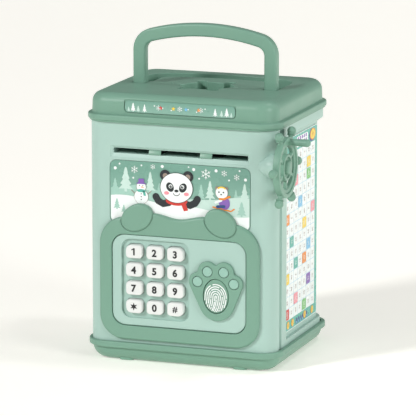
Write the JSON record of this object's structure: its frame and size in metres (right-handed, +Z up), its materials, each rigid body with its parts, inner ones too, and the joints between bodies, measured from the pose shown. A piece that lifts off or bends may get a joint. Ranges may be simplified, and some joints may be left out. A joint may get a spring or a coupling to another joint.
{
  "type": "toy atm savings bank",
  "caption": "Upright toy cash-machine money box with a hinged keypad door, fold-down carry handle, helm hand wheel, banknote slot and coin slot.",
  "frame": {"origin": "centre of the base tray's flat underside, on the table plane", "axes": "+Z up, -Y the front with the door, +X to the right of someone who faces the front"},
  "size_m": [0.1485, 0.1331, 0.2118],
  "materials": {
    "base_green": "satin moulded plastic",
    "lid_green": "satin moulded plastic",
    "handle_green": "satin moulded plastic",
    "wheel_green": "satin moulded plastic",
    "door_green": "satin moulded plastic",
    "foot_green": "satin moulded plastic",
    "casing_green": "satin moulded plastic",
    "toe_green": "satin moulded plastic",
    "key_white": "gloss moulded plastic with printed numerals",
    "picture_film": "laminated printed film",
    "grid_film": "laminated printed film",
    "name_film": "laminated printed film",
    "soft_rubber": "matte",
    "black_plastic": "matte",
    "circuit_board": "solder mask",
    "screw_steel": "zinc plated",
    "pin_steel": "ground",
    "motor_steel": "drawn can",
    "cell_wrap": "shrink sleeve"
  },
  "bodies": {
    "casing": {"base_tray": "base_green", "foot_front_left": "foot_green", "foot_front_right": "foot_green", "foot_rear_left": "foot_green", "foot_rear_right": "foot_green", "battery_door": "base_green", "battery_door_screw": "screw_steel", "battery_cell_1": "cell_wrap", "battery_cell_2": "cell_wrap", "battery_cell_3": "cell_wrap", "base_screw_1": "screw_steel", "base_screw_2": "screw_steel", "base_screw_3": "screw_steel", "base_screw_4": "screw_steel", "compartment_floor": "casing_green", "front_shell": "casing_green", "rear_shell": "casing_green", "front_sticker": "picture_film", "side_label_left": "grid_film", "side_label_right": "grid_film", "lid_cover": "lid_green", "lid_label": "name_film", "handle_pin_left": "pin_steel", "handle_pin_right": "pin_steel", "door_hinge_pin": "pin_steel", "note_chute": "casing_green", "feed_motor": "motor_steel", "note_finger_left": "door_green", "note_finger_right": "door_green", "main_board": "circuit_board", "speaker": "black_plastic", "lock_solenoid": "motor_steel"},
    "door": {"door_frame": "door_green", "door_panel": "casing_green", "paw_plate": "door_green", "toe_light_guide": "toe_green", "keypad_membrane": "soft_rubber", "door_board": "circuit_board", "door_back_cover": "casing_green"},
    "handle": {"carry_handle": "handle_green"},
    "wheel": {"helm_wheel": "wheel_green", "wheel_shaft": "pin_steel"},
    "feed": {"feed_shaft": "pin_steel", "feed_roller_left": "soft_rubber", "feed_roller_right": "soft_rubber"},
    "pinch": {"pinch_roller": "black_plastic"},
    "bolt": {"latch_bolt": "pin_steel"},
    "pad": {"fingerprint_pad": "door_green"},
    "key_1_cap": {"key_1": "key_white"},
    "key_2_cap": {"key_2": "key_white"},
    "key_3_cap": {"key_3": "key_white"},
    "key_4_cap": {"key_4": "key_white"},
    "key_5_cap": {"key_5": "key_white"},
    "key_6_cap": {"key_6": "key_white"},
    "key_7_cap": {"key_7": "key_white"},
    "key_8_cap": {"key_8": "key_white"},
    "key_9_cap": {"key_9": "key_white"},
    "key_star_cap": {"key_star": "key_white"},
    "key_0_cap": {"key_0": "key_white"},
    "key_hash_cap": {"key_hash": "key_white"}
  },
  "joints": [
    {"name": "door_hinge", "type": "hinge", "parent": "casing", "child": "door", "pos_m": [-0.0554, -0.0456, 0.054], "axis": [0, 0, -1], "range_deg": [0, 110]},
    {"name": "handle_fold", "type": "hinge", "parent": "casing", "child": "handle", "pos_m": [0, -0.00505, 0.1682], "axis": [-1, 0, 0], "range_deg": [0, 90]},
    {"name": "wheel_spin", "type": "hinge", "parent": "casing", "child": "wheel", "pos_m": [0.0685, -0.0502, 0.1316], "axis": [1, 0, 0], "continuous": true},
    {"name": "feed_spin", "type": "hinge", "parent": "casing", "child": "feed", "pos_m": [0, -0.036, 0.1286], "axis": [1, 0, 0], "continuous": true},
    {"name": "pinch_spin", "type": "hinge", "parent": "casing", "child": "pinch", "pos_m": [0, -0.036, 0.1399], "axis": [1, 0, 0], "continuous": true},
    {"name": "bolt_throw", "type": "slide", "parent": "casing", "child": "bolt", "axis": [-1, 0, 0], "range_m": [0, 0.005]},
    {"name": "pad_press", "type": "slide", "parent": "door", "child": "pad", "axis": [0, 1, 0], "range_m": [0, 0.001], "stiffness_N_per_m": 400},
    {"name": "key_1_press", "type": "slide", "parent": "door", "child": "key_1_cap", "axis": [0, 1, 0], "range_m": [0, 0.0012], "stiffness_N_per_m": 300},
    {"name": "key_2_press", "type": "slide", "parent": "door", "child": "key_2_cap", "axis": [0, 1, 0], "range_m": [0, 0.0012], "stiffness_N_per_m": 300},
    {"name": "key_3_press", "type": "slide", "parent": "door", "child": "key_3_cap", "axis": [0, 1, 0], "range_m": [0, 0.0012], "stiffness_N_per_m": 300},
    {"name": "key_4_press", "type": "slide", "parent": "door", "child": "key_4_cap", "axis": [0, 1, 0], "range_m": [0, 0.0012], "stiffness_N_per_m": 300},
    {"name": "key_5_press", "type": "slide", "parent": "door", "child": "key_5_cap", "axis": [0, 1, 0], "range_m": [0, 0.0012], "stiffness_N_per_m": 300},
    {"name": "key_6_press", "type": "slide", "parent": "door", "child": "key_6_cap", "axis": [0, 1, 0], "range_m": [0, 0.0012], "stiffness_N_per_m": 300},
    {"name": "key_7_press", "type": "slide", "parent": "door", "child": "key_7_cap", "axis": [0, 1, 0], "range_m": [0, 0.0012], "stiffness_N_per_m": 300},
    {"name": "key_8_press", "type": "slide", "parent": "door", "child": "key_8_cap", "axis": [0, 1, 0], "range_m": [0, 0.0012], "stiffness_N_per_m": 300},
    {"name": "key_9_press", "type": "slide", "parent": "door", "child": "key_9_cap", "axis": [0, 1, 0], "range_m": [0, 0.0012], "stiffness_N_per_m": 300},
    {"name": "key_star_press", "type": "slide", "parent": "door", "child": "key_star_cap", "axis": [0, 1, 0], "range_m": [0, 0.0012], "stiffness_N_per_m": 300},
    {"name": "key_0_press", "type": "slide", "parent": "door", "child": "key_0_cap", "axis": [0, 1, 0], "range_m": [0, 0.0012], "stiffness_N_per_m": 300},
    {"name": "key_hash_press", "type": "slide", "parent": "door", "child": "key_hash_cap", "axis": [0, 1, 0], "range_m": [0, 0.0012], "stiffness_N_per_m": 300}
  ],
  "couplings": [
    {"joint": "pinch_spin", "follows": "feed_spin", "ratio": -1.75}
  ]
}
